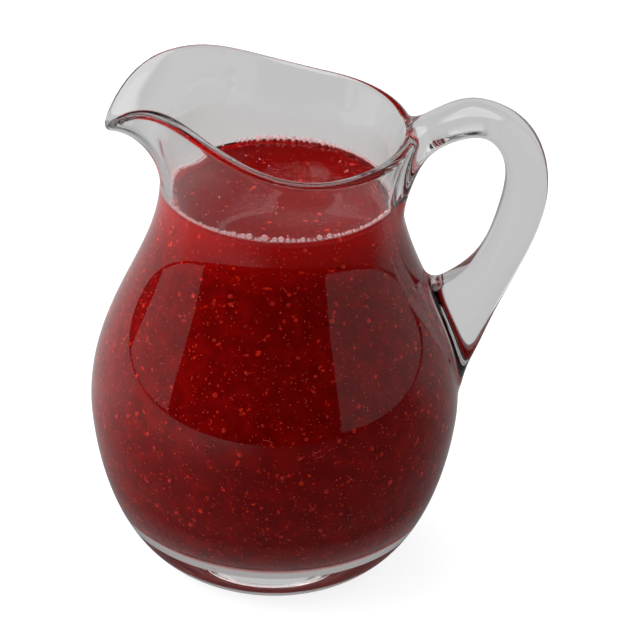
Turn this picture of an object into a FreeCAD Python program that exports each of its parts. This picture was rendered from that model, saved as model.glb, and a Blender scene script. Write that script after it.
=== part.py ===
"""Small clear-glass jug, about half a litre, filled to the neck with red fruit sauce.

The jug is one piece of glass: a round belly on a flat thick foot, a narrow neck, a lip pulled out into a
pouring spout at -X, and a drawn loop handle at +X.  The sauce is the second solid and stands inside it.
Millimetres, +Z up; the origin is the centre of the foot, on the surface that the jug stands on.
"""
import FreeCAD, Part
import math
import os

V = FreeCAD.Vector

# ---- body of the jug: outer surface
BELLY_RADIUS = 50.3
BELLY_HEIGHT = 45.6
NECK_RADIUS = 31.6
NECK_HEIGHT = 111.0
FOOT_SHARE = 0.6163         # radius of the flat ring that the jug stands on, as a share of the belly's
HEEL_OUT = 4.0              # the foot's rounding ends this much further out
HEEL_HEIGHT = 2.2           # and this high
LOW_OUT = 0.863             # the belly leaves the heel towards a point this share of the way outward
LOW_UP = 0.2645             # and upward to its widest part
UNDER_FULLNESS = 0.115      # length of upright run just below the belly, as a share of the height there
BELLY_FULLNESS = 0.396      # upright run above the belly, as a share of the height from belly to neck
NECK_FULLNESS = 0.349       # the same below the neck

# ---- glass
WALL = 2.9
FLOOR_HEIGHT = 10.5         # top of the thick glass floor
FLOOR_SHARE = 0.4374        # radius of the flat part of the floor inside, as a share of the belly's
FLOOR_ROUNDNESS = 0.62      # 0.55 is a round corner between floor and belly, more is squarer

# ---- lip and spout; angles in degrees, 0 at the handle and 180 at the spout
LIP_ABOVE_NECK = 15.0       # centre line of the rounded lip on the handle's side
LIP_FLARE = 2.4             # outer edge of the lip there, outward from the neck
SIDE_SWELL = 2.2            # the lip is this much wider at the sides
SPOUT_REACH = 11.8          # the spout's tip stands this far out from the round lip
SPOUT_SPREAD = 25.6         # how wide the spout is, as an angle
CHEEK_RISE = 11.3           # the lip climbs this much towards the spout's two cheeks
CHEEK_START = 62.0          # the lip starts to climb here
CHEEK_END = 158.0           # and is at its highest here
TIP_RISE = 0.2              # the spout's tip above the lip on the handle's side
CHANNEL_SPREAD = 16.0       # how wide the pouring channel is, as an angle
LIP_SLOPE = 72.0            # degrees above level, slope of the glass where it meets the lip
TIP_SLOPE = 4.0             # the same at the spout's tip, nearly level
TIP_SPREAD = 30.0           # how far round the spout the slope changes, as an angle
COLLAR_RUN = 0.4            # share of the neck-to-lip distance that the glass goes straight at each end
SPOUT_RUN_CUT = 0.35        # at the spout the upright run above the neck is shorter by this share

# ---- handle, from its upper root to the tip of its pad on the belly.
# Each station gives the handle's outer edge, then its inner edge, then its half width.
# An edge is its distance from the body beside it in mm, and its height as a share: 0 at the handle's foot
# and 1 at the lip.
HANDLE_ABOVE_BELLY = 6.4    # the foot of the handle, above the widest part of the belly
HANDLE_STATIONS = [
    (-4.6, 0.88, -6.1, 0.65, 6.0),          # inside the neck
    (0.0, 1.035, 1.5, 0.785, 6.3),          # broad root, from the lip down to the neck
    (4.4, 1.075, 5.0, 0.91, 6.3),
    (9.4, 1.108, 9.3, 0.973, 6.2),
    (15.5, 1.125, 14.6, 1.0, 6.2),          # crown
    (25.6, 1.08, 19.9, 0.985, 6.3),
    (33.7, 0.966, 25.1, 0.91, 6.4),
    (38.0, 0.812, 26.6, 0.812, 6.5),        # furthest out
    (35.2, 0.653, 24.4, 0.689, 6.5),
    (24.7, 0.454, 16.4, 0.527, 6.4),
    (14.2, 0.284, 6.1, 0.436, 6.0),         # runs into the belly
    (6.8, 0.142, -3.1, 0.365, 5.2),
    (0.1, 0.0, -9.8, 0.176, 4.0),           # tapering pad, ends inside the wall
]
HANDLE_SQUARENESS = 0.03    # 0 is a plain oval section, more is squarer
ROOT_FILLET = 2.5           # the glass flows between handle and body

# ---- contents
SAUCE_BELOW_NECK = 2.5      # the sauce's level, below the narrowest part of the neck

# ---- how many points each stretch gets
AROUND = 48
HANDLE_AROUND = 24
FOOT_STEPS = 4
BODY_STEPS = 7
COLLAR_STEPS = 7
LIP_TURNS = (45, 90, 135)   # degrees over the rounded lip, from its outer to its inner side


def bezier(start, start_handle, end_handle, end, steps):
    """Points (r, z) along a cubic curve, both ends included."""
    corners = (start, start_handle, end_handle, end)
    points = []
    for i in range(steps + 1):
        t = i / steps
        weights = ((1 - t) ** 3, 3 * (1 - t) ** 2 * t, 3 * (1 - t) * t * t, t ** 3)
        points.append(tuple(sum(w * c[k] for w, c in zip(weights, corners)) for k in (0, 1)))
    return points


def smooth_step(t):
    t = min(max(t, 0.0), 1.0)
    return t ** 3 * (10 - 15 * t + 6 * t * t)


def spout_share(angle, spread):
    """1 at the spout, falling away to both sides over `spread` degrees."""
    return math.exp(-((abs(angle % 360 - 180) / spread) ** 2))


def lip_radius():
    """Outer edge of the lip on the handle's side."""
    return NECK_RADIUS + LIP_FLARE


def lip_height():
    """Height of the lip's centre line on the handle's side."""
    return NECK_HEIGHT + LIP_ABOVE_NECK


def lip_centre(angle):
    """(r, z) of the middle of the rounded lip."""
    swell = SIDE_SWELL * math.sin(math.radians(angle)) ** 2
    reach = SPOUT_REACH * spout_share(angle, SPOUT_SPREAD)
    from_handle = 180 - abs(angle % 360 - 180)
    climb = CHEEK_RISE * smooth_step((from_handle - CHEEK_START) / (CHEEK_END - CHEEK_START))
    channel = (CHEEK_RISE - TIP_RISE) * spout_share(angle, CHANNEL_SPREAD)
    return lip_radius() + swell + reach - WALL / 2, lip_height() + climb - channel


def collar(angle):
    """Middle of the glass from the neck up to the lip: points (r, z), and the way outward at each."""
    neck = (NECK_RADIUS - WALL / 2, NECK_HEIGHT)
    lip = lip_centre(angle)
    share = spout_share(angle, TIP_SPREAD)
    slope = math.radians(LIP_SLOPE * (1 - share) + TIP_SLOPE * share)
    run = COLLAR_RUN * math.dist(neck, lip)
    above_neck = (neck[0], neck[1] + (1 - SPOUT_RUN_CUT * share) * run)
    below_lip = (lip[0] - run * math.cos(slope), lip[1] - run * math.sin(slope))
    points = bezier(neck, above_neck, below_lip, lip, COLLAR_STEPS)
    before = [neck] + points[:-2] + [below_lip]
    after = [above_neck] + points[2:] + [lip]
    outward = []
    for (r0, z0), (r1, z1) in zip(before, after):
        length = math.dist((r0, z0), (r1, z1))
        outward.append(((z1 - z0) / length, (r0 - r1) / length))
    return points, outward


def collar_side(angle, distance):
    """Points (r, z) of the collar, `distance` outward from the middle of the glass."""
    return [(r + distance * n[0], z + distance * n[1]) for (r, z), n in zip(*collar(angle))]


def outer_body():
    """(r, z) of the outer surface from the foot up to the neck."""
    foot_radius = FOOT_SHARE * BELLY_RADIUS
    heel, belly = (foot_radius + HEEL_OUT, HEEL_HEIGHT), (BELLY_RADIUS, BELLY_HEIGHT)
    out, rise = belly[0] - heel[0], belly[1] - heel[1]
    leave = (LOW_OUT * out, LOW_UP * rise)
    rounding = HEEL_OUT / 3
    back = rounding / math.hypot(*leave)
    under_heel = (heel[0] - back * leave[0], heel[1] - back * leave[1])
    above_heel = (heel[0] + leave[0], heel[1] + leave[1])
    under_belly = (belly[0], belly[1] - UNDER_FULLNESS * rise)
    foot = bezier((foot_radius, 0.0), (foot_radius + rounding, 0.0), under_heel, heel, FOOT_STEPS)
    low = bezier(heel, above_heel, under_belly, belly, BODY_STEPS)
    return foot + low[1:] + shoulder(0.0)[1:]


def shoulder(depth):
    """(r, z) from the belly up to the neck, `depth` inside the outer surface."""
    belly, neck = BELLY_RADIUS - depth, NECK_RADIUS - depth
    rise = NECK_HEIGHT - BELLY_HEIGHT
    return bezier(
        (belly, BELLY_HEIGHT),
        (belly, BELLY_HEIGHT + BELLY_FULLNESS * rise),
        (neck, NECK_HEIGHT - NECK_FULLNESS * rise),
        (neck, NECK_HEIGHT),
        BODY_STEPS,
    )


def bowl():
    """(r, z) of the inner surface from the flat floor up to the neck."""
    belly, floor_radius = BELLY_RADIUS - WALL, FLOOR_SHARE * BELLY_RADIUS
    low = bezier(
        (floor_radius, FLOOR_HEIGHT),
        (floor_radius + FLOOR_ROUNDNESS * (belly - floor_radius), FLOOR_HEIGHT),
        (belly, BELLY_HEIGHT - FLOOR_ROUNDNESS * (BELLY_HEIGHT - FLOOR_HEIGHT)),
        (belly, BELLY_HEIGHT),
        BODY_STEPS,
    )
    return low + shoulder(WALL)[1:]


def section(angle):
    """The glass cut through at one angle: (r, z) from the foot, over the lip, to the floor inside."""
    half = WALL / 2
    outside, inside = collar_side(angle, half), collar_side(angle, -half)
    middle, outward = collar(angle)
    (r, z), (out_r, out_z) = middle[-1], outward[-1]
    lip = []
    for turn in LIP_TURNS:
        out = half * math.cos(math.radians(turn))
        over = half * math.sin(math.radians(turn))
        lip.append((r + out * out_r - over * out_z, z + out * out_z + over * out_r))
    return outer_body() + outside[1:] + lip + inside[::-1] + bowl()[-2::-1]


def closed_curve(points):
    """Smooth closed curve through the points, one unit of its parameter to each."""
    curve = Part.BSplineCurve()
    curve.interpolate(Points=points, PeriodicFlag=True, Parameters=list(range(len(points) + 1)))
    return curve


def closed_solid(loops, splits=()):
    """Solid whose side passes smoothly through the loops; flat faces close the first and the last.

    The side is cut into several faces at the loops whose numbers are in `splits`.
    """
    around = [closed_curve(loop) for loop in loops]
    along = [0.0]
    for loop, following in zip(loops, loops[1:]):
        steps = [a.distanceToPoint(b) for a, b in zip(loop, following)]
        along.append(along[-1] + sum(steps) / len(steps))
    columns = []
    for column in zip(*[curve.getPoles() for curve in around]):
        curve = Part.BSplineCurve()
        curve.interpolate(Points=list(column), Parameters=along)
        columns.append(curve)
    surface = Part.BSplineSurface()
    surface.buildFromPolesMultsKnots(
        [curve.getPoles() for curve in columns],
        around[0].getMultiplicities(),
        columns[0].getMultiplicities(),
        around[0].getKnots(),
        columns[0].getKnots(),
        True,
        False,
        3,
        3,
    )
    bounds = [0, *splits, len(loops) - 1]
    sides = []
    for first, last in zip(bounds, bounds[1:]):
        stretch = surface.copy()
        stretch.segment(0, len(loops[0]), along[first], along[last])
        sides.append(stretch.toShape())
    ends = [curve.toShape() for curve in (around[0], around[-1])]
    shell = Part.makeShell(sides + [Part.Face(Part.Wire([end])) for end in ends])
    shell.sewShape()
    solid = Part.Solid(shell)
    if solid.Volume < 0:
        solid.reverse()
    return solid


def glass_body():
    """The jug without its handle: one surface over every level loop, closed by the foot and the floor."""
    angles = [90 + 360 * i / AROUND for i in range(AROUND)]
    loops = []
    for level in zip(*[section(a) for a in angles]):
        turns = [math.radians(a) for a in angles]
        loops.append([V(r * math.cos(t), r * math.sin(t), z) for t, (r, z) in zip(turns, level)])
    neck = FOOT_STEPS + 2 * BODY_STEPS
    crest = neck + COLLAR_STEPS + len(LIP_TURNS) // 2 + 1
    return closed_solid(loops, (neck, crest, 2 * crest - neck))


def core(top):
    """Solid of revolution up to the height `top`, its side in the middle of the glass wall."""
    sides = zip(bowl(), outer_body()[FOOT_STEPS:])
    wall = [((r0 + r1) / 2, (z0 + z1) / 2) for (r0, z0), (r1, z1) in sides] + collar(0)[0][1:]
    wall_line = Part.BSplineCurve()
    wall_line.interpolate([V(r, 0, z) for r, z in wall])
    floor, lip = V(wall[0][0], 0, wall[0][1]), V(wall[-1][0], 0, wall[-1][1])
    ceiling = lip_height() + 2 * CHEEK_RISE
    corners = [lip, V(lip.x, 0, ceiling), V(0, 0, ceiling), V(0, 0, floor.z), floor]
    lines = [Part.LineSegment(a, b).toShape() for a, b in zip(corners, corners[1:])]
    outline = Part.Face(Part.Wire([wall_line.toShape()] + lines))
    whole = outline.revolve(V(0, 0, 0), V(0, 0, 1), 360)
    return whole.common(Part.makeCylinder(2 * BELLY_RADIUS, top))


def radius_beside_handle(height):
    """Radius of the body's outer surface at a height, on the handle's side."""
    outline = outer_body() + collar_side(0, WALL / 2)[1:]
    for (r0, z0), (r1, z1) in zip(outline, outline[1:]):
        if z0 <= height <= z1:
            return r0 + (r1 - r0) * (height - z0) / (z1 - z0)
    return lip_radius()


def handle_edge(distance, share):
    """Point of the handle's edge, in its own plane."""
    foot = BELLY_HEIGHT + HANDLE_ABOVE_BELLY
    height = foot + share * (lip_height() - foot)
    return V(radius_beside_handle(height) + distance, 0, height)


def handle():
    """The loop handle: one surface over oval sections, each from its outer edge to its inner edge."""
    loops = []
    for *edges, half_width in HANDLE_STATIONS:
        outer, inner = handle_edge(*edges[:2]), handle_edge(*edges[2:])
        middle, outward = (outer + inner) / 2, (outer - inner) / 2
        loop = []
        for i in range(HANDLE_AROUND):
            turn = 2 * math.pi * i / HANDLE_AROUND
            out = math.cos(turn) - HANDLE_SQUARENESS * math.cos(3 * turn)
            across = math.sin(turn) + HANDLE_SQUARENESS * math.sin(3 * turn)
            oval_point = outward * out + V(0, half_width * across, 0)
            loop.append(middle + oval_point / (1 - HANDLE_SQUARENESS))
        loops.append(loop)
    return closed_solid(loops)


def jug(body):
    """Body and handle as one piece of glass, with fillets where the handle's roots meet the body."""
    inside = core(lip_height() + CHEEK_RISE)
    whole = body.fuse(handle().cut(inside)).Solids[0]
    roots = []
    for edge in whole.Edges:
        box = edge.BoundBox
        beside_neck = box.XMin > NECK_RADIUS - WALL
        if beside_neck and box.YLength > WALL:
            roots.append(edge)
    return whole.makeFillet(ROOT_FILLET, roots).Solids[0]


def sauce(body):
    """The sauce: all that the glass leaves free inside, up to its level."""
    return core(NECK_HEIGHT - SAUCE_BELOW_NECK).cut(body).Solids[0]


def main():
    os.makedirs("parts", exist_ok=True)
    body = glass_body()
    for name, solid in (("jug", jug(body)), ("sauce", sauce(body))):
        solid.exportStep(f"parts/{name}.step")
        box = solid.BoundBox
        size = f"{box.XLength:.1f} x {box.YLength:.1f} x {box.ZLength:.1f} mm"
        print(f"{name}: valid {solid.isValid()}, {solid.Volume / 1000:.1f} cm3, {size}")


main()
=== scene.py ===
"""Small clear-glass jug with a spout and a loop handle, filled to the neck with red fruit sauce.

The glass is rebuilt from its named sizes in millimetres, with the handle melted into the body, and stands in
for the CAD glass.  The clear sauce reaches just into the glass, and the cloudy pulp lies inside it.  Specks,
seeds, fibres and bubbles are meshes at true size.
"""

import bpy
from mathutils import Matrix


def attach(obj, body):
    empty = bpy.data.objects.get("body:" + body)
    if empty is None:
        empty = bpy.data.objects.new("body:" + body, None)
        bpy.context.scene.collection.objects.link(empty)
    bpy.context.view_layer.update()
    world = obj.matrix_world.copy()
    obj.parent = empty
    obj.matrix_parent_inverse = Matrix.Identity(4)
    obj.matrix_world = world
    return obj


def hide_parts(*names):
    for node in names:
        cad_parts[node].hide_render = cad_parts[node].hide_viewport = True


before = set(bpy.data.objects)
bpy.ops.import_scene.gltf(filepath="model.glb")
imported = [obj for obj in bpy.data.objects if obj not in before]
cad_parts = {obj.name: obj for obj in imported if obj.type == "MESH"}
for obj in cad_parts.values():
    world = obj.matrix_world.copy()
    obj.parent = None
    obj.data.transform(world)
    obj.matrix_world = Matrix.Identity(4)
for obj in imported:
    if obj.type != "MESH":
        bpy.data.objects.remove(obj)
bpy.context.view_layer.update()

import math

import bmesh
import bpy
import numpy as np
from mathutils import Matrix, Vector
from mathutils.bvhtree import BVHTree
from mathutils.interpolate import poly_3d_calc

MM = 0.001

# ---- the jug's sizes in mm and degrees, as in the CAD
BELLY_RADIUS, BELLY_HEIGHT = 50.3, 45.6
NECK_RADIUS, NECK_HEIGHT = 31.6, 111.0
FOOT_RADIUS, HEEL_RADIUS, HEEL_HEIGHT = 31.0, 35.0, 2.2
LOW_OUT, LOW_UP, UNDER_FULLNESS = 0.863, 0.2645, 0.115
BELLY_FULLNESS, NECK_FULLNESS = 0.396, 0.349
WALL, FLOOR_HEIGHT, FLOOR_RADIUS, FLOOR_ROUNDNESS = 2.9, 10.5, 22.0, 0.62
LIP_HEIGHT, LIP_RADIUS, SIDE_SWELL = 126.0, 34.0, 2.2
SPOUT_REACH, SPOUT_SPREAD = 11.8, 25.6
CHEEK_RISE, CHEEK_START, CHEEK_END = 11.3, 62.0, 158.0
TIP_RISE, CHANNEL_SPREAD = 0.2, 16.0
LIP_SLOPE, TIP_SLOPE, TIP_SPREAD = 72.0, 4.0, 30.0
COLLAR_RUN, SPOUT_RUN_CUT = 0.4, 0.35
HANDLE_FOOT = 52.0
HANDLE_STATIONS = [
    # outer edge: how far out from the body, and share of the way from HANDLE_FOOT to the lip; inner edge, the
    # same; half width
    (-4.6, 0.88, -6.1, 0.65, 6.0),
    (0.0, 1.035, 1.5, 0.785, 6.3),
    (4.4, 1.075, 5.0, 0.91, 6.3),
    (9.4, 1.108, 9.3, 0.973, 6.2),
    (15.5, 1.125, 14.6, 1.0, 6.2),
    (25.6, 1.08, 19.9, 0.985, 6.3),
    (33.7, 0.966, 25.1, 0.91, 6.4),
    (38.0, 0.812, 26.6, 0.812, 6.5),
    (35.2, 0.653, 24.4, 0.689, 6.5),
    (24.7, 0.454, 16.4, 0.527, 6.4),
    (14.2, 0.284, 6.1, 0.436, 6.0),
    (6.8, 0.142, -3.1, 0.365, 5.2),
    (0.1, 0.0, -9.8, 0.176, 4.0),
]
HANDLE_SQUARENESS = 0.03
SAUCE_LEVEL = 108.5

# ---- what the CAD leaves plain, in mm
MELT = 5.0                  # how far the glass flows together where the handle's roots meet the body
LEAST_SLOPE = 0.25          # keeps a step onto the melted shape short where its slope fades
ROOTS_OUT, ROOTS_ASIDE, ROOTS_UP = 20.0, 20.0, 40.0     # its roots lie beyond, within and above these
OUTER_SIDE = 0.2            # how far beyond the wall's middle counts as outside
WALL_MIDDLE_FLOOR = 4.0     # where the middle of the wall runs flat under the bowl
MENISCUS, MENISCUS_REACH = 0.3, 1.2     # how far the sauce climbs the glass, and how soon that fades inward
INTO_GLASS = 0.12           # how far the clear sauce reaches into the glass
CLEAR_LAYER, CLEAR_FLOOR, CLEAR_TOP = 1.8, 0.5, 1.0     # clear sauce beside, below and above the pulp
SEAT_GAP, BUBBLE_GAP = 0.03, 0.05       # between a bubble and the sauce, and its other neighbours

# ---- how finely things are cut
BODY_AROUND = 216
HANDLE_RINGS, HANDLE_AROUND = 170, 48
FINE_RINGS, FINE_AROUND = 600, 160      # the handle that distances are measured to
MELT_ROUNDS, RELAX_PASSES = 3, 4
LONG_EDGE, NEAR_POINTS, SLIVER = 0.9, 0.3, 0.02     # at the roots, in mm: cut, merged and dissolved

# ---- light, where 1 is white
SEEN_THROUGH = 0.57         # the background through clear glass
EVEN_LIGHT, LEFT_LIGHT, RIGHT_LIGHT = 0.7, 8.2, 1.8     # on what scatters light
WHITE = (1, 1, 1, 1)


# =====================================================================================================
# shapes
# =====================================================================================================
def bezier(a, b, c, d, t):
    """Points and directions along a cubic curve; the corners may be arrays of corners."""
    a, b, c, d = (np.asarray(p, float)[..., None, :] for p in (a, b, c, d))
    t = np.asarray(t)[:, None]
    points = (1 - t) ** 3 * a + 3 * (1 - t) ** 2 * t * b + 3 * (1 - t) * t * t * c + t ** 3 * d
    ways = (1 - t) ** 2 * (b - a) + 2 * (1 - t) * t * (c - b) + t * t * (d - c)
    return points, ways / np.linalg.norm(ways, axis=-1, keepdims=True)


def smooth_step(t):
    """0 to 1 with no kink at either end."""
    t = np.clip(t, 0, 1)
    return t ** 3 * (10 - 15 * t + 6 * t * t)


def spout_share(angles, spread):
    """1 at the spout's angle, fading to 0 away from it."""
    return np.exp(-((np.abs(angles % 360 - 180) / spread) ** 2))


def collar(angles, steps):
    """Middle of the glass from the neck to the lip at each angle, and the way outward."""
    angles = np.asarray(angles, float)
    turn = np.radians(angles)
    swell = SIDE_SWELL * np.sin(turn) ** 2
    reach = SPOUT_REACH * spout_share(angles, SPOUT_SPREAD)
    from_handle = 180 - np.abs(angles % 360 - 180)
    climb = CHEEK_RISE * smooth_step((from_handle - CHEEK_START) / (CHEEK_END - CHEEK_START))
    channel = (CHEEK_RISE - TIP_RISE) * spout_share(angles, CHANNEL_SPREAD)
    lip = np.stack([LIP_RADIUS + swell + reach - WALL / 2, LIP_HEIGHT + climb - channel], -1)
    neck = np.zeros_like(lip) + (NECK_RADIUS - WALL / 2, NECK_HEIGHT)
    share = spout_share(angles, TIP_SPREAD)
    slope = np.radians(LIP_SLOPE * (1 - share) + TIP_SLOPE * share)
    run = COLLAR_RUN * np.linalg.norm(lip - neck, axis=-1)
    above_neck = neck + np.stack([0 * run, (1 - SPOUT_RUN_CUT * share) * run], -1)
    below_lip = lip - np.stack([run * np.cos(slope), run * np.sin(slope)], -1)
    points, ways = bezier(neck, above_neck, below_lip, lip, np.linspace(0, 1, steps))
    return points, np.stack([ways[..., 1], -ways[..., 0]], -1)


def shoulder(depth, steps):
    """(r, z) from the belly up to the neck, `depth` inside the outer surface."""
    belly, neck, rise = BELLY_RADIUS - depth, NECK_RADIUS - depth, NECK_HEIGHT - BELLY_HEIGHT
    return bezier(
        (belly, BELLY_HEIGHT),
        (belly, BELLY_HEIGHT + BELLY_FULLNESS * rise),
        (neck, NECK_HEIGHT - NECK_FULLNESS * rise),
        (neck, NECK_HEIGHT),
        np.linspace(0, 1, steps),
    )[0]


def outer_body(foot_steps=8, steps=34):
    """(r, z) of the outer surface from the foot's edge up to the neck."""
    heel, belly = np.array([HEEL_RADIUS, HEEL_HEIGHT]), np.array([BELLY_RADIUS, BELLY_HEIGHT])
    out, rise = belly - heel
    leave = np.array([LOW_OUT * out, LOW_UP * rise])
    rounding = (HEEL_RADIUS - FOOT_RADIUS) / 3
    under_heel = heel - leave * rounding / np.linalg.norm(leave)
    edge = (FOOT_RADIUS, 0.0)
    foot = bezier(edge, (FOOT_RADIUS + rounding, 0.0), under_heel, heel, np.linspace(0, 1, foot_steps))[0]
    under_belly = belly - (0, UNDER_FULLNESS * rise)
    low = bezier(heel, heel + leave, under_belly, belly, np.linspace(0, 1, steps))[0]
    return np.concatenate([foot, low[1:], shoulder(0.0, steps)[1:]])


def bowl(depth=WALL, steps=34, floor=FLOOR_HEIGHT):
    """(r, z) of the inner surface from the flat floor up to the neck."""
    belly = BELLY_RADIUS - depth
    low = bezier(
        (FLOOR_RADIUS, floor),
        (FLOOR_RADIUS + FLOOR_ROUNDNESS * (belly - FLOOR_RADIUS), floor),
        (belly, BELLY_HEIGHT - FLOOR_ROUNDNESS * (BELLY_HEIGHT - floor)),
        (belly, BELLY_HEIGHT),
        np.linspace(0, 1, steps),
    )[0]
    return np.concatenate([low, shoulder(depth, steps)[1:]])


def sections(angles, collar_steps=26, lip_steps=11):
    """Outline of the glass at each angle: from the foot's edge over the lip to the floor inside."""
    middle, outward = collar(angles, collar_steps)
    half = WALL / 2
    turn = np.linspace(0, np.pi, lip_steps)[1:-1, None]
    end, side = middle[:, -1:], outward[:, -1:]
    up = np.stack([-side[..., 1], side[..., 0]], -1)
    lip = end + half * (np.cos(turn) * side + np.sin(turn) * up)
    fixed = np.ones((len(angles), 1, 1))
    return np.concatenate([
        outer_body() * fixed,
        (middle + half * outward)[:, 1:],
        lip,
        (middle - half * outward)[:, ::-1],
        bowl()[-2::-1] * fixed,
    ], 1)


def turned(outlines, angles):
    """(angle, point, 3) places of outlines (r, z) turned about the jug's axis."""
    turn = np.radians(angles)[:, None]
    r, z = outlines[..., 0], outlines[..., 1]
    return np.stack([r * np.cos(turn), r * np.sin(turn), z * np.ones_like(turn)], -1)


# (r, z) of the middle of the wall on the handle's side, from under the bowl up to the lip
WALL_MIDDLE = np.concatenate([bowl(WALL / 2, floor=WALL_MIDDLE_FLOOR), collar([0.0], 40)[0][0, 1:]])


def ring_mesh(rings):
    """Vertices and faces of a tube of closed rings (ring, point, 3), fans closing both ends."""
    count, around = rings.shape[:2]
    places = rings.reshape(-1, 3)
    faces = []
    for k in range(count - 1):
        for i in range(around):
            j = (i + 1) % around
            faces.append((k * around + i, k * around + j, (k + 1) * around + j, (k + 1) * around + i))
    first, last = len(places), len(places) + 1
    places = np.concatenate([places, rings[:1].mean(1), rings[-1:].mean(1)])
    for i in range(around):
        j = (i + 1) % around
        faces.append((j, i, first))
        faces.append(((count - 1) * around + i, (count - 1) * around + j, last))
    return places, faces


def new_object(name, places, faces):
    """A smooth-shaded piece from places in mm."""
    mesh = bpy.data.meshes.new(name)
    mesh.from_pydata([tuple(p) for p in np.asarray(places) * MM], [], faces)
    mesh.validate()
    mesh.shade_smooth()
    piece = bpy.data.objects.new(name, mesh)
    bpy.context.scene.collection.objects.link(piece)
    return piece


# ---- handle
def radius_beside_handle(heights):
    """The body's outer radius on the handle's side."""
    middle, outward = collar([0.0], 40)
    outline = np.concatenate([outer_body(), (middle + WALL / 2 * outward)[0, 1:]])
    return np.interp(heights, outline[:, 1], outline[:, 0], right=LIP_RADIUS)


def spline(knots, values, at):
    """Smooth curve through the values, with free ends."""
    n = len(knots)
    gap = np.diff(knots)
    matrix, side = np.zeros((n, n)), np.zeros((n,) + values.shape[1:])
    matrix[0, 0] = matrix[-1, -1] = 1
    for i in range(1, n - 1):
        matrix[i, i - 1], matrix[i, i], matrix[i, i + 1] = gap[i - 1], 2 * (gap[i - 1] + gap[i]), gap[i]
        side[i] = 6 * ((values[i + 1] - values[i]) / gap[i] - (values[i] - values[i - 1]) / gap[i - 1])
    bend = np.linalg.solve(matrix, side)
    i = np.clip(np.searchsorted(knots, at) - 1, 0, n - 2)
    h, a, b = gap[i][:, None], (knots[i + 1] - at)[:, None], (at - knots[i])[:, None]
    return (
        bend[i] * a ** 3 / (6 * h) + bend[i + 1] * b ** 3 / (6 * h)
        + (values[i] / h - bend[i] * h / 6) * a + (values[i + 1] / h - bend[i + 1] * h / 6) * b
    )


def handle_rings(count=HANDLE_RINGS, around=HANDLE_AROUND, held_back=True):
    """Rings of points along the handle, from end to end; held back, it stays out of the bowl."""
    s = np.array(HANDLE_STATIONS)
    heights = HANDLE_FOOT + s[:, (1, 3)] * (LIP_HEIGHT - HANDLE_FOOT)
    x = radius_beside_handle(heights) + s[:, (0, 2)]
    edges = np.concatenate([x[:, :1], heights[:, :1], x[:, 1:], heights[:, 1:], s[:, 4:]], 1)
    middle = (edges[:, :2] + edges[:, 2:4]) / 2
    knots = np.concatenate([[0], np.cumsum(np.linalg.norm(np.diff(middle, axis=0), axis=1))])
    e = spline(knots, edges, np.linspace(0, knots[-1], count))
    turn = np.arange(around) * 2 * np.pi / around
    out = (np.cos(turn) - HANDLE_SQUARENESS * np.cos(3 * turn)) / (1 - HANDLE_SQUARENESS)
    across = (np.sin(turn) + HANDLE_SQUARENESS * np.sin(3 * turn)) / (1 - HANDLE_SQUARENESS)
    rings = np.zeros((count, around, 3))
    for k, column in ((0, 0), (2, 1)):
        middle, half = (e[:, column] + e[:, column + 2]) / 2, (e[:, column] - e[:, column + 2]) / 2
        rings[..., k] = middle[:, None] + half[:, None] * out
    rings[..., 1] = e[:, 4:5] * across
    if not held_back:
        return rings
    # nothing of the handle reaches past the middle of the body's wall
    wall_middle = np.interp(rings[..., 2], WALL_MIDDLE[:, 1], WALL_MIDDLE[:, 0])
    radius = np.hypot(rings[..., 0], rings[..., 1])
    push = np.maximum(1, wall_middle / radius)
    rings[..., :2] *= push[..., None]
    return rings


def searchable(piece):
    """A piece's surface in mm, to find the nearest place on: its tree, and its faces' corners and normals."""
    bm = bmesh.new()
    bm.from_mesh(piece.data)
    bmesh.ops.scale(bm, vec=(1 / MM,) * 3, verts=bm.verts)
    bmesh.ops.recalc_face_normals(bm, faces=bm.faces)
    bm.normal_update()
    tree = BVHTree.FromBMesh(bm)
    corners = [[v.co.copy() for v in f.verts] for f in bm.faces]
    normals = [[v.normal.copy() for v in f.verts] for f in bm.faces]
    bm.free()
    return tree, corners, normals


def signed_distance(surface, place):
    """Distance from a closed surface, below 0 inside it, and its smooth normal at the nearest place."""
    tree, corners, normals = surface
    near, _, face, distance = tree.find_nearest(place)
    shares = poly_3d_calc(corners[face], near)
    normal = sum((n * share for n, share in zip(normals[face], shares)), Vector()).normalized()
    return (distance if (place - near).dot(normal) >= 0 else -distance), normal


def wall_middle_at(z):
    """Radius of the middle of the wall at a height."""
    return float(np.interp(z, WALL_MIDDLE[:, 1], WALL_MIDDLE[:, 0]))


def melted(body, handle, place, wall_middle):
    """Level of the melted shape at a place, 0 on its surface, and its slope."""
    to_body, body_way = signed_distance(body, place)
    to_handle, handle_way = signed_distance(handle, place)
    outside = math.hypot(place.x, place.y) - wall_middle
    melt = MELT * min(max(outside / (WALL / 2), 0.0), 1.0)
    if melt < 0.01:
        return (to_body, body_way) if to_body < to_handle else (to_handle, handle_way)
    share = min(max(0.5 + 0.5 * (to_handle - to_body) / melt, 0.0), 1.0)
    level = to_handle * (1 - share) + to_body * share - melt * share * (1 - share)
    return level, handle_way * (1 - share) + body_way * share


def settled(surfaces, place, wall_middle, steps):
    """The place, moved onto the melted shape."""
    for _ in range(steps):
        level, slope = melted(*surfaces, place, wall_middle)
        place = place - slope * (level / max(slope.length_squared, LEAST_SLOPE))
    return place


def at_roots(bm, surfaces, beyond):
    """The outer vertices where the handle meets the body, up to `beyond` further than the glass melts."""
    found = []
    for v in bm.verts:
        if v.co.x < ROOTS_OUT or abs(v.co.y) > ROOTS_ASIDE or v.co.z < ROOTS_UP:
            continue
        if math.hypot(v.co.x, v.co.y) < wall_middle_at(v.co.z) + OUTER_SIDE:
            continue
        to_body, to_handle = (surface[0].find_nearest(v.co)[3] for surface in surfaces)
        if max(to_body, to_handle) < MELT + beyond:
            found.append(v)
    return found


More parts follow.
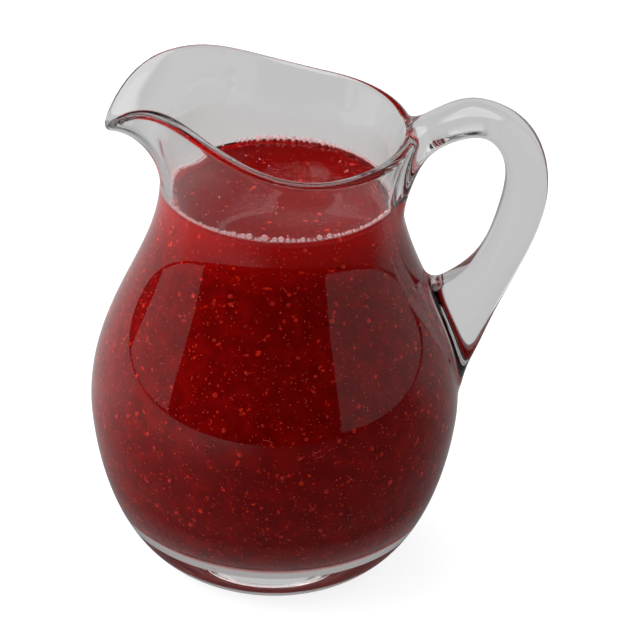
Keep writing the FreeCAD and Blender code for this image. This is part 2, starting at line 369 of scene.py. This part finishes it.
def edges_among(bm, verts):
    """The edges with both ends among these vertices."""
    verts = set(verts)
    return [e for e in bm.edges if e.verts[0] in verts and e.verts[1] in verts]


def faces_at(verts):
    """The faces that touch these vertices, each once and always in the same order."""
    return list(dict.fromkeys(f for v in verts for f in v.link_faces))


def split_wide_faces(bm):
    """Cuts faces of more than four corners into triangles."""
    bmesh.ops.triangulate(bm, faces=[f for f in bm.faces if len(f.verts) > 4])


def relax(verts, surfaces):
    """Moves each vertex halfway to the middle of its neighbours, and back onto the melted shape."""
    moved = {}
    for v in verts:
        ring = [e.other_vert(v).co for e in v.link_edges]
        centre = sum(ring, Vector()) / len(ring)
        moved[v] = v.co.lerp(centre, 0.5)
    for v, place in moved.items():
        v.co = settled(surfaces, place, wall_middle_at(place.z), steps=2)


def melt_roots(bm, surfaces):
    """Cuts the mesh finer where the handle meets the body, and moves it onto the melted shape there."""
    near = at_roots(bm, surfaces, beyond=2.0)
    bmesh.ops.triangulate(bm, faces=faces_at(near))
    bmesh.ops.remove_doubles(bm, verts=near, dist=NEAR_POINTS)
    for _ in range(MELT_ROUNDS):
        near = at_roots(bm, surfaces, beyond=1.0)
        long = [e for e in edges_among(bm, near) if e.calc_length() > LONG_EDGE]
        bmesh.ops.subdivide_edges(bm, edges=long, cuts=1)
        near = at_roots(bm, surfaces, beyond=1.0)
        bmesh.ops.triangulate(bm, faces=faces_at(near))
        near = at_roots(bm, surfaces, beyond=0.5)
        for _ in range(RELAX_PASSES):
            relax(near, surfaces)
        bmesh.ops.beautify_fill(bm, faces=faces_at(near), edges=edges_among(bm, near))
    for v in at_roots(bm, surfaces, beyond=0.5):
        v.co = settled(surfaces, v.co, wall_middle_at(v.co.z), steps=5)
    split_wide_faces(bm)
    bmesh.ops.dissolve_degenerate(bm, dist=SLIVER, edges=bm.edges)
    split_wide_faces(bm)


def smooth_normals(bm, surfaces):
    """Each vertex's normal; at the roots, that of the melted shape itself."""
    bmesh.ops.recalc_face_normals(bm, faces=bm.faces)
    bm.normal_update()
    bm.verts.index_update()
    normals = [v.normal.copy() for v in bm.verts]
    for v in at_roots(bm, surfaces, beyond=4.0):
        normals[v.index] = melted(*surfaces, v.co, wall_middle_at(v.co.z))[1].normalized()
    return normals


def glass():
    """Body and handle as one piece of glass."""
    angles = np.arange(BODY_AROUND) * 360 / BODY_AROUND
    body_places, body_faces = ring_mesh(turned(sections(angles), angles).transpose(1, 0, 2))
    handle_places, handle_faces = ring_mesh(handle_rings())
    body = new_object("glass_body", body_places, body_faces)
    handle = new_object("glass_handle", handle_places, handle_faces)
    for piece in (body, handle):
        bm = bmesh.new()
        bm.from_mesh(piece.data)
        bmesh.ops.recalc_face_normals(bm, faces=bm.faces)
        bm.to_mesh(piece.data)
        bm.free()
    fine_rings = handle_rings(FINE_RINGS, FINE_AROUND, held_back=False)
    whole_handle = new_object("whole_handle", *ring_mesh(fine_rings))
    surfaces = [searchable(piece) for piece in (body, whole_handle)]
    bpy.data.objects.remove(whole_handle)
    union = body.modifiers.new("union", "BOOLEAN")
    union.operation, union.object, union.solver = "UNION", handle, "EXACT"
    whole = bpy.data.meshes.new_from_object(body.evaluated_get(bpy.context.evaluated_depsgraph_get()))
    for piece in (body, handle):
        bpy.data.objects.remove(piece)
    bm = bmesh.new()
    bm.from_mesh(whole)
    bmesh.ops.scale(bm, vec=(1 / MM,) * 3, verts=bm.verts)
    melt_roots(bm, surfaces)
    normals = smooth_normals(bm, surfaces)
    bmesh.ops.scale(bm, vec=(MM,) * 3, verts=bm.verts)
    bm.to_mesh(whole)
    bm.free()
    whole.shade_smooth()
    whole.normals_split_custom_set_from_vertices(normals)
    dry = whole.attributes.new("dry", "FLOAT", "POINT")
    for v, flag in zip(whole.vertices, dry.data):
        place = v.co / MM
        inside = math.hypot(place.x, place.y) < wall_middle_at(place.z) and place.z > WALL_MIDDLE_FLOOR
        flag.value = 0.0 if inside and place.z < SAUCE_LEVEL else 1.0
    piece = bpy.data.objects.new("glass", whole)
    whole.name = "glass"
    bpy.context.scene.collection.objects.link(piece)
    return piece


# ---- sauce
def sauce_outline(depth, floor, level, rise=0.0):
    """(r, z) of a turned body `depth` inside the jug's outer surface, from its floor to the axis on top."""
    side = bowl(depth, 60, floor)
    brim = level + rise
    edge = float(np.interp(brim, side[:, 1], side[:, 0]))
    side = side[side[:, 1] < brim - 0.2]
    inner = np.concatenate([np.linspace(0, edge * 0.7, 6), np.linspace(edge * 0.73, edge - 0.15, 28)])
    top = np.stack([inner, level + rise * np.exp((inner - edge) / MENISCUS_REACH)], -1)[::-1]
    underside = np.stack([np.linspace(0, FLOOR_RADIUS - 1, 8), np.full(8, side[0, 1])], -1)
    return np.concatenate([underside[1:], side, [(edge, brim)], top[:-1]])


def near_wall(rng, count, shallow, deep, high=SAUCE_LEVEL - 0.6):
    """Random places in the sauce, `shallow` to `deep` mm from the glass, evenly over its surface."""
    side = bowl()
    step = np.linalg.norm(np.diff(side, axis=0), axis=1)
    way = np.diff(side, axis=0) / step[:, None]
    share = step * side[:-1, 0] * (side[1:, 1] < high)
    pick = rng.choice(len(step), count, p=share / share.sum())
    spot = side[pick] + way[pick] * (rng.random(count) * step[pick])[:, None]
    inward = np.stack([-way[pick, 1], way[pick, 0]], -1)
    spot = spot + inward * rng.uniform(shallow, deep, count)[:, None]
    turn = rng.uniform(0, 2 * np.pi, count)
    return np.stack([spot[:, 0] * np.cos(turn), spot[:, 0] * np.sin(turn), spot[:, 1]], -1)


def under_top(rng, count, shallow, deep, reach=NECK_RADIUS - WALL - 1.1):
    """Random places just under the sauce's top."""
    r, turn = reach * np.sqrt(rng.random(count)), rng.uniform(0, 2 * np.pi, count)
    return np.stack([r * np.cos(turn), r * np.sin(turn), SAUCE_LEVEL - rng.uniform(shallow, deep, count)], -1)


def random_turns(rng, count):
    """Rotation matrices, evenly over all turns."""
    q = rng.normal(size=(count, 4))
    w, x, y, z = (q / np.linalg.norm(q, axis=1, keepdims=True)).T
    return np.stack([
        np.stack([1 - 2 * (y * y + z * z), 2 * (x * y - z * w), 2 * (x * z + y * w)], -1),
        np.stack([2 * (x * y + z * w), 1 - 2 * (x * x + z * z), 2 * (y * z - x * w)], -1),
        np.stack([2 * (x * z - y * w), 2 * (y * z + x * w), 1 - 2 * (x * x + y * y)], -1),
    ], 1)


def unit_ball(detail):
    """Places and faces of a ball of radius 1."""
    bm = bmesh.new()
    bmesh.ops.create_icosphere(bm, subdivisions=detail, radius=1.0)
    places = np.array([v.co for v in bm.verts])
    faces = np.array([[v.index for v in f.verts] for f in bm.faces])
    bm.free()
    return places, faces


def repeated(name, copies, corners):
    """One mesh of copies (copy, point, 3) of a shape with these faces."""
    faces = corners[None] + (np.arange(len(copies)) * copies.shape[1])[:, None, None]
    return new_object(name, copies.reshape(-1, 3), faces.reshape(-1, 3).tolist())


def scattered(name, rng, beside, below, radii, detail=1, slimness=0.6, roughness=0.15):
    """One mesh of small rounded bits, each turned at random, longer than wide and a little lumpy.

    `beside` and `below` say how many lie near the glass and near the top, and their least and most depth.
    """
    places = np.concatenate([near_wall(rng, *beside), under_top(rng, *below)])
    count = len(places)
    radii = rng.uniform(*radii, count)
    shape, corners = unit_ball(detail)
    size = np.stack([np.ones(count), *rng.uniform(slimness, 1, (2, count))], -1) * radii[:, None]
    lumps = 1 + roughness * rng.normal(size=(count, len(shape), 1)).clip(-2, 2)
    turns = random_turns(rng, count)
    bits = np.einsum("nij,nvj->nvi", turns, shape * size[:, None] * lumps) + places[:, None]
    return repeated(name, bits, corners)


def fibres(name, rng, starts, lengths, width, curl=0.35, steps=7, sides=4):
    """One mesh of fine curved hairs that taper at both ends."""
    places, faces = [], []
    for start, length in zip(starts, lengths):
        way = rng.normal(size=3)
        way /= np.linalg.norm(way)
        here = np.array(start)
        for k in range(steps):
            side = np.cross(way, (0.3, 0.5, 0.81))
            side /= np.linalg.norm(side)
            other = np.cross(way, side)
            thick = width * math.sin(math.pi * (k + 0.35) / (steps - 0.3)) ** 0.5
            base = len(places)
            for i in range(sides):
                a = 2 * math.pi * i / sides
                places.append(here + thick * (math.cos(a) * side + math.sin(a) * other))
            if k:
                for i in range(sides):
                    j = (i + 1) % sides
                    faces.append((base - sides + i, base - sides + j, base + j, base + i))
            way = way + curl * rng.normal(size=3)
            way /= np.linalg.norm(way)
            here = here + way * length / steps
        first = base - sides * (steps - 1)
        faces.append(tuple(range(base, base + sides)))
        faces.append(tuple(range(first + sides - 1, first - 1, -1)))
    return new_object(name, places, faces)


def rim_bubbles(rng):
    """Centres and radii of the bubbles that stand in a broken ring where the sauce meets the glass."""
    found, angle = [], 0.0
    wall = NECK_RADIUS - WALL + 0.1
    while angle < 2 * math.pi:
        # larger ones gather in front and behind
        larger = max(abs(math.sin(angle)) - 0.8, 0) / 0.2
        radius = rng.uniform(0.25, 0.5) + (rng.random() < 0.75) * larger * rng.uniform(0.1, 0.5)
        out = wall - radius - BUBBLE_GAP
        climb = MENISCUS * math.exp(-radius / MENISCUS_REACH)
        lean = math.hypot(1, climb / MENISCUS_REACH)
        height = SAUCE_LEVEL + climb + radius * lean + SEAT_GAP
        found.append((out * math.cos(angle), out * math.sin(angle), height, radius))
        angle += (radius * 2 + 0.1 + rng.exponential(0.12 if rng.random() < 0.94 else 1.5)) / wall
    while math.dist(found[-1][:3], found[0][:3]) < found[-1][3] + found[0][3]:
        found.pop()
    return np.array(found)


def floating_bubbles(rng, count, taken, reach=NECK_RADIUS - WALL - 2.5):
    """Centres and radii of small bubbles on the sauce's open top, clear of each other and of the ring."""
    found = list(taken)
    while len(found) < count + len(taken):
        out, angle = reach * math.sqrt(rng.random()), rng.uniform(0, 2 * math.pi)
        radius = rng.uniform(0.12, 0.28)
        climb = MENISCUS * math.exp((out + radius - NECK_RADIUS + WALL) / MENISCUS_REACH)
        place = (out * math.cos(angle), out * math.sin(angle), SAUCE_LEVEL + climb + radius + SEAT_GAP)
        if all(math.dist(place, other[:3]) > radius + other[3] + BUBBLE_GAP for other in found):
            found.append((*place, radius))
    return np.array(found[len(taken):])


def balls(name, bubbles):
    """One mesh of round balls, from their centres and radii."""
    ball, corners = unit_ball(3)
    return repeated(name, ball[None] * bubbles[:, None, 3:] + bubbles[:, None, :3], corners)


def turned_solid(name, outline, around=160):
    """A closed solid of revolution about the jug's axis."""
    angles = np.arange(around) * 360 / around
    places = turned(outline[None] * np.ones((around, 1, 1)), angles).transpose(1, 0, 2)
    return new_object(name, *ring_mesh(places))


# =====================================================================================================
# materials
# =====================================================================================================
class Sums:
    """Writes sums as nodes of one node tree; each method returns the socket that holds its result."""

    def __init__(self, tree):
        self.tree = tree

    def node(self, kind):
        return self.tree.nodes.new("ShaderNode" + kind)

    def put(self, socket, value):
        """Sets a number or colour, or links another node's output."""
        if isinstance(value, (int, float, tuple)):
            socket.default_value = value
        else:
            self.tree.links.new(value, socket)

    def math(self, operation, *values):
        node = self.node("Math")
        node.operation = operation
        for socket, value in zip(node.inputs, values):
            self.put(socket, value)
        return node.outputs[0]

    def add(self, total, *values):
        for value in values:
            total = self.math("ADD", total, value)
        return total

    def times(self, product, *values):
        for value in values:
            product = self.math("MULTIPLY", product, value)
        return product

    def length(self, a, b):
        """Length of the diagonal over two sides."""
        return self.math("SQRT", self.add(self.math("POWER", a, 2.0), self.math("POWER", b, 2.0)))

    def split(self, vector):
        """The x, y and z of a vector."""
        node = self.node("SeparateXYZ")
        self.put(node.inputs[0], vector)
        return node.outputs

    def choose(self, share, otherwise, then):
        """`then` where the share is 1, `otherwise` where it is 0."""
        node = self.node("Mix")
        for name, value in (("Factor", share), ("A", otherwise), ("B", then)):
            self.put(node.inputs[name], value)
        return node.outputs["Result"]

    def ramp(self, value, low, high, at_low=0.0, at_high=1.0):
        """Smooth change from at_low to at_high as the value goes from low to high."""
        node = self.node("MapRange")
        node.interpolation_type = "SMOOTHSTEP"
        for socket, number in zip(node.inputs, (value, low, high, at_low, at_high)):
            self.put(socket, number)
        return node.outputs[0]

    def blend(self, share, otherwise, then):
        """Mix of two colours."""
        node = self.node("Mix")
        node.data_type = "RGBA"
        for place, value in ((0, share), (6, otherwise), (7, then)):
            self.put(node.inputs[place], value)
        return node.outputs[2]

    def noise(self, where, scale, detail):
        node = self.node("TexNoise")
        for name, value in (("Vector", where), ("Scale", scale), ("Detail", detail)):
            self.put(node.inputs[name], value)
        return node.outputs["Fac"]

    def by_path(self, path, through, outside, inside, scattered):
        """Picks by how the light came: through glass, mirrored off its outside or inside, or scattered."""
        mirrored = self.math("GREATER_THAN", path.outputs["Glossy Depth"], 0.5)
        passed = self.math("GREATER_THAN", path.outputs["Transmission Depth"], 0.5)
        dulled = self.math("GREATER_THAN", path.outputs["Diffuse Depth"], 0.5)
        picked = self.choose(mirrored, through, self.choose(passed, outside, inside))
        return self.choose(dulled, picked, scattered)


def material(name, looks):
    """A Principled material, from its sockets' names and values."""
    made = bpy.data.materials.new(name)
    made.use_nodes = True
    shader = made.node_tree.nodes["Principled BSDF"]
    for socket, value in looks.items():
        shader.inputs[socket].default_value = value
    return made, made.node_tree, shader


def glass_material():
    """Clear glass, which mirrors nothing where the sauce wets it."""
    looks = {"Base Color": WHITE, "Roughness": 0.0, "IOR": 1.5, "Transmission Weight": 1.0}
    made, tree, shader = material("clear_glass", looks)
    dry = tree.nodes.new("ShaderNodeAttribute")
    dry.attribute_name = "dry"
    tree.links.new(dry.outputs["Fac"], shader.inputs["Specular Tint"])
    return made


def sauce_material():
    """Clear red juice, of which only the open top mirrors."""
    looks = {"Base Color": WHITE, "Roughness": 0.0, "IOR": 1.38, "Transmission Weight": 1.0}
    made, tree, shader = material("clear_sauce", looks)
    absorb = tree.nodes.new("ShaderNodeVolumeAbsorption")
    absorb.inputs["Color"].default_value = (0.9, 0.1, 0.08, 1)
    absorb.inputs["Density"].default_value = 200.0
    tree.links.new(absorb.outputs[0], tree.nodes["Material Output"].inputs["Volume"])
    sums = Sums(tree)
    height = sums.split(sums.node("TexCoord").outputs["Object"])["Z"]
    open_top = sums.math("GREATER_THAN", height, (SAUCE_LEVEL - 0.1) * MM)
    tree.links.new(open_top, shader.inputs["Specular Tint"])
    return made


def pulp_material():
    """The cloudy part of the sauce: deep red with paler drifts and clots of pulp; painted light makes it
    brighter near the top, and painted shade makes it darker where it faces up.
    """
    dark, light = (0.155, 0.0008, 0.0006, 1), (0.225, 0.0024, 0.0016, 1)
    painted_light_near_top, clot, open_top = (0.38, 0.0045, 0.0022, 1), (0.8, 0.05, 0.015, 1), (0.112, 0.0007, 0.0005, 1)
    made, tree, shader = material("sauce_pulp", {"Roughness": 0.6, "Specular IOR Level": 0.0})
    # places are in metres
    sums = Sums(tree)
    place = sums.node("TexCoord").outputs["Object"]
    drifts, clots = sums.noise(place, 240.0, 4.0), sums.noise(place, 600.0, 2.0)
    facing_up = sums.split(sums.node("NewGeometry").outputs["Normal"])["Z"]
    base = sums.blend(sums.ramp(drifts, 0.35, 0.7), dark, light)
    # painted light: brighter red near the top, for the light that comes in through the sauce's open top
    base = sums.blend(sums.ramp(sums.split(place)["Z"], 0.09, 0.109), base, painted_light_near_top)
    base = sums.blend(sums.ramp(clots, 0.64, 0.74, 0.0, 0.7), base, clot)
    # painted shade: darker where the pulp faces up, to offset the light that falls on it from above
    base = sums.blend(sums.ramp(facing_up, 0.6, 0.95, 0.0, 0.75), base, open_top)
    tree.links.new(base, shader.inputs["Base Color"])
    return made


def bubble_material():
    """Thin-skinned bubbles, which show the pink of the sauce; their pale pink diffuse share is also a painted
    highlight, so that they show as bright beads.
    """
    looks = {"Base Color": (1.0, 0.68, 0.68, 1), "Roughness": 0.03, "IOR": 1.5, "Transmission Weight": 0.75}
    return material("bubble", looks)[0]


def bit_material(name, colour):
    """A seed, speck or fibre of one colour."""
    return material(name, {"Base Color": (*colour, 1), "Roughness": 0.35, "Specular IOR Level": 0.3})[0]


# =====================================================================================================
# stage, light and camera
# =====================================================================================================
def make_camera():
    """The view: 0.65 m away and 31 degrees above level, the jug left of the middle and leaning a little."""
    distance, elevation, aim, roll = 0.650, math.radians(31.4), 0.060, math.radians(1.71)
    lens = bpy.data.cameras.new("camera")
    lens.sensor_width = 36.0
    lens.lens = 134.5
    lens.shift_x, lens.shift_y = 0.0689, 0.0423
    lens.clip_start = 0.01
    camera = bpy.data.objects.new("camera", lens)
    place = Vector((0, -distance * math.cos(elevation), aim + distance * math.sin(elevation)))
    look = (Vector((0, 0, aim)) - place).to_track_quat("-Z", "Y").to_matrix().to_4x4()
    camera.matrix_world = Matrix.Translation(place) @ look @ Matrix.Rotation(roll, 4, "Z")
    bpy.context.scene.collection.objects.link(camera)
    bpy.context.scene.camera = camera


def softbox(name, place, target, width, height, power):
    """A soft white area lamp that faces its target."""
    light = bpy.data.lights.new(name, "AREA")
    light.shape, light.size, light.size_y, light.energy = "RECTANGLE", width, height, power
    lamp = bpy.data.objects.new(name, light)
    place, target = Vector(place), Vector(target)
    facing = (target - place).to_track_quat("-Z", "Y").to_matrix().to_4x4()
    lamp.matrix_world = Matrix.Translation(place) @ facing
    bpy.context.scene.collection.objects.link(lamp)


def make_world():
    """White to the camera, grey through glass, dark where glass mirrors it, and soft light on the sauce."""
    world = bpy.data.worlds.new("world")
    bpy.context.scene.world = world
    world.use_nodes = True
    sums = Sums(world.node_tree)
    path = sums.node("LightPath")
    x, y, z = sums.split(sums.node("TexCoord").outputs["Generated"])
    # soft light from the upper left behind, a little from the right, on what scatters it
    toward = sums.add(sums.times(x, -0.75), sums.times(y, 0.35), sums.times(z, 0.3))
    lighting = sums.add(
        sums.ramp(toward, 0.1, 0.95, 0.0, LEFT_LIGHT), EVEN_LIGHT, sums.ramp(x, 0.2, 1.0, 0.0, RIGHT_LIGHT))
    # a pale strip low behind the jug and a pale ceiling, as the glass mirrors them
    behind = sums.ramp(sums.math("DIVIDE", y, sums.length(x, y)), 0.55, 0.68)
    low, ceiling = sums.ramp(z, 0.4, 0.5, 1.0, 0.0), sums.ramp(z, 0.75, 0.85)
    outside = sums.add(sums.times(behind, low, 0.55), 0.01, sums.times(ceiling, 3.0))
    level = sums.times(sums.ramp(y, -0.2, 0.5, 0.25, SEEN_THROUGH), sums.ramp(z, 0.38, 0.48, 1.0, 0.06))
    inside = sums.add(level, sums.times(ceiling, 1.5))
    # an even grey behind clear glass
    through = sums.math(
        "MAXIMUM", sums.ramp(y, 0.45, 0.7, 0.08, SEEN_THROUGH), sums.ramp(z, 0.5, 0.75, 0.0, 0.4))
    strength = sums.by_path(path, through, outside, inside, lighting)
    strength = sums.choose(path.outputs["Is Camera Ray"], strength, 1.0)
    background = world.node_tree.nodes["Background"]
    background.inputs["Color"].default_value = WHITE
    sums.put(background.inputs["Strength"], strength)


def make_floor():
    """Pale floor: nearly white to the camera, with a faint shadow; a grey sweep to glass and reflections."""
    bpy.ops.mesh.primitive_circle_add(vertices=96, radius=0.72, fill_type="NGON", location=(0, 0, 0.00002))
    floor = bpy.context.object
    floor.name = "floor"
    made, tree, shader = material("floor", {"Base Color": (0.9, 0.9, 0.9, 1), "Roughness": 0.9})
    sums = Sums(tree)
    path = sums.node("LightPath")
    x, y, _ = sums.split(sums.node("TexCoord").outputs["Object"])
    # what the outside of the glass mirrors: paler on the left and behind
    left = sums.ramp(x, 0.02, -0.3, 0.0, 0.35)
    back = sums.times(sums.ramp(y, -0.05, 0.12), sums.ramp(x, 0.0, 0.2, 0.5, 0.25))
    outside = sums.math("MINIMUM", sums.add(left, back, 0.06), SEEN_THROUGH)
    # what shows through the glass: grey behind the jug, dark to both sides, a paler edge on the left
    ahead = sums.add(y, 0.1)
    ratio = sums.math("DIVIDE", ahead, sums.length(x, ahead))
    edge_light = sums.times(sums.ramp(ratio, 0.93, 0.85), sums.ramp(x, -0.01, -0.06))
    through = sums.ramp(ratio, 0.55, 0.75, 0.08, sums.add(sums.times(edge_light, 0.45), SEEN_THROUGH))
    lighting = sums.ramp(x, 0.2, -0.35, 0.55, 2.5)
    grey, white = sums.node("Emission"), sums.node("Emission")
    sums.put(grey.inputs["Strength"], sums.by_path(path, through, outside, 0.4, lighting))
    seen, mixed = sums.node("MixShader"), sums.node("MixShader")
    surface = tree.nodes["Material Output"].inputs["Surface"]
    for socket, value in (
        (seen.inputs[0], 0.8), (seen.inputs[1], shader.outputs[0]), (seen.inputs[2], white.outputs[0]),
        (mixed.inputs[0], path.outputs["Is Camera Ray"]), (mixed.inputs[1], grey.outputs[0]),
        (mixed.inputs[2], seen.outputs[0]), (surface, mixed.outputs[0]),
    ):
        sums.put(socket, value)
    floor.data.materials.append(made)


make_camera()
make_world()
make_floor()
for lamp in (
    # name, place, target, width, height, power
    ("left_window", (-0.8, -0.07, 0.45), (0, -0.07, 0.45), 0.61, 0.9, 0.8),
    ("right_window", (0.8, -0.3, 0.45), (0, -0.3, 0.45), 1.3, 0.9, 1.2),
    ("top_window", (-0.4, -0.29, 0.98), (0.02, 0, 0.12), 0.36, 0.36, 0.6),
):
    softbox(*lamp)

jug = glass()
jug.data.materials.clear()
jug.data.materials.append(glass_material())
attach(jug, "root")
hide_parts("jug")

clear = sauce_outline(WALL - INTO_GLASS, FLOOR_HEIGHT - INTO_GLASS, SAUCE_LEVEL, MENISCUS)
fill = turned_solid("sauce_clear", clear)
fill.data.materials.append(sauce_material())
pulp = sauce_outline(WALL + CLEAR_LAYER, FLOOR_HEIGHT + CLEAR_FLOOR, SAUCE_LEVEL - CLEAR_TOP)
cloudy = turned_solid("sauce_cloudy", pulp)
cloudy.data.materials.append(pulp_material())

rng = np.random.default_rng(7)
specks = scattered("specks", rng, (4200, 0.3, 1.8), (300, 0.25, 1.0), (0.12, 0.32), slimness=0.3)
specks.data.materials.append(bit_material("speck_red", (0.52, 0.022, 0.012)))
glints = scattered("pale_specks", rng, (1100, 0.2, 1.2), (110, 0.2, 0.8), (0.08, 0.26), slimness=0.25)
glints.data.materials.append(bit_material("speck_pale", (0.68, 0.09, 0.07)))
seeds = scattered("seeds", rng, (330, 0.9, 2.1), (30, 0.7, 1.3), (0.35, 0.85), detail=2, roughness=0.06)
seeds.data.materials.append(bit_material("seed_orange", (0.62, 0.022, 0.006)))
places = near_wall(rng, 160, 0.4, 1.7)
hairs = fibres("fibres", rng, places, rng.uniform(1.5, 4.5, len(places)), 0.07)
hairs.data.materials.append(bit_material("fibre_red", (0.7, 0.08, 0.04)))
ring = rim_bubbles(rng)
foam = balls("bubbles", np.concatenate([ring, floating_bubbles(rng, 16, ring)]))
foam.data.materials.append(bubble_material())
for piece in (fill, cloudy, specks, glints, seeds, hairs, foam):
    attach(piece, "root")
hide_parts("sauce")

bpy.context.scene.view_settings.view_transform = "Standard"
# light is mirrored many times inside the thick glass
paths = bpy.context.scene.cycles
paths.max_bounces, paths.glossy_bounces, paths.transmission_bounces = 24, 16, 24
